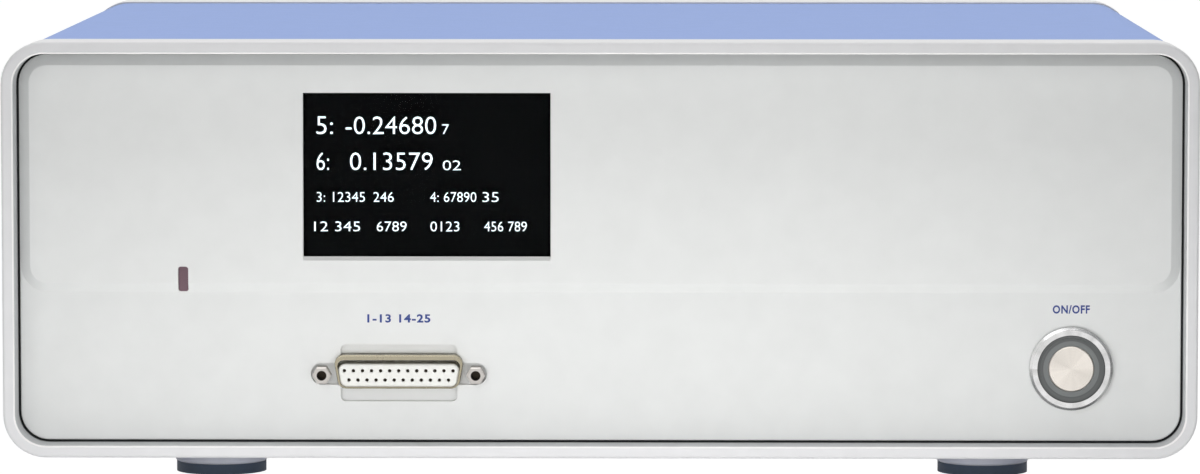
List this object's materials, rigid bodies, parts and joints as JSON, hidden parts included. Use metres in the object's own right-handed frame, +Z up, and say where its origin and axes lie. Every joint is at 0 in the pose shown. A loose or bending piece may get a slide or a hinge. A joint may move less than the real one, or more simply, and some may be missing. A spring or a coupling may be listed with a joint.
{
  "type": "potentiostat",
  "caption": "Benchtop potentiostat: a pale metal case with blue covers, a screen, a cell connector and a round steel power button.",
  "frame": {"origin": "middle of the instrument's footprint, on the surface it stands on", "axes": "+X to the right seen from the front, +Y from the front panel to the rear, +Z up"},
  "size_m": [0.363, 0.305, 0.1366],
  "materials": {
    "case_paint": "satin, fine",
    "panel_paint": "satin, fine",
    "cover_blue": "satin",
    "rear_paint": "satin",
    "rail_metal": "extruded",
    "sink_metal": "anodised",
    "screw_steel": "zinc plated",
    "button_steel": "turned, polished edges",
    "bright_steel": "nickel plated",
    "connector_gold": "gold chromate",
    "contact_gold": "gold flash",
    "earth_brass": "bright",
    "connector_face": "moulded",
    "pale_plate": "satin",
    "foot_plastic": "moulded",
    "foot_rubber": "matt",
    "seal_rubber": "matt",
    "screen_glass": "polished",
    "screen_dark": "matt",
    "lens_tint": "translucent",
    "ring_tint": "translucent",
    "circuit_board": "solder mask",
    "black_plastic": "moulded",
    "relay_plastic": "moulded",
    "sleeve_plastic": "shrunk sleeve",
    "winding_tape": "wound tape",
    "fuse_glass": "clear",
    "ribbon_grey": "ribbed",
    "lead_sleeve": "matt"
  },
  "bodies": {
    "case": {"board_pillars": "bright_steel", "board_screws": "screw_steel", "bottom_cover": "cover_blue", "button_body": "button_steel", "button_gasket": "seal_rubber", "button_light_ring": "ring_tint", "button_nut": "bright_steel", "button_spring": "bright_steel", "capacitors": "sleeve_plastic", "cell_ribbon": "ribbon_grey", "connector_board": "circuit_board", "connector_contacts": "contact_gold", "connector_insulator": "connector_face", "connector_jackscrews": "bright_steel", "connector_plate": "pale_plate", "connector_shell": "connector_gold", "cover_screws": "screw_steel", "data_socket": "bright_steel", "earth_nuts": "earth_brass", "earth_stud": "earth_brass", "fan_frame": "black_plastic", "fan_guard": "bright_steel", "fan_screws": "screw_steel", "foot_front_left": "foot_plastic", "foot_front_right": "foot_plastic", "foot_pads": "foot_rubber", "foot_rear_left": "foot_plastic", "foot_rear_right": "foot_plastic", "foot_screws": "screw_steel", "front_frame": "case_paint", "front_panel": "panel_paint", "heat_sink": "sink_metal", "inlet_pins": "bright_steel", "main_board": "circuit_board", "mains_inlet": "black_plastic", "mains_lead": "lead_sleeve", "panel_nuts": "screw_steel", "power_transistors": "black_plastic", "rail_screws": "screw_steel", "rear_frame": "case_paint", "rear_panel": "rear_paint", "rear_screws": "screw_steel", "relays": "relay_plastic", "screen_board": "circuit_board", "screen_module": "screen_dark", "screen_ribbon": "ribbon_grey", "screen_spacers": "bright_steel", "screen_window": "screen_glass", "shield_can": "bright_steel", "status_lens": "lens_tint", "switch_block": "black_plastic", "tie_rails": "rail_metal", "top_cover": "cover_blue", "transformer": "winding_tape", "transformer_bolt": "screw_steel", "transformer_washer": "screw_steel"},
    "button": {"button_cap": "button_steel"},
    "fan": {"fan_rotor": "black_plastic"},
    "drawer": {"fuse_drawer": "black_plastic", "fuse": "fuse_glass"}
  },
  "joints": [
    {"name": "button_press", "type": "slide", "parent": "case", "child": "button", "axis": [0, 1, 0], "range_m": [0, 0.003], "stiffness_N_per_m": 600, "springref_m": -0.002, "deforming": ["button_spring"]},
    {"name": "fan_spin", "type": "hinge", "parent": "case", "child": "fan", "pos_m": [-0.11, 0.126, 0.082], "axis": [0, 1, 0], "continuous": true},
    {"name": "drawer_pull", "type": "slide", "parent": "case", "child": "drawer", "axis": [0, 1, 0], "range_m": [0, 0.022]}
  ]
}
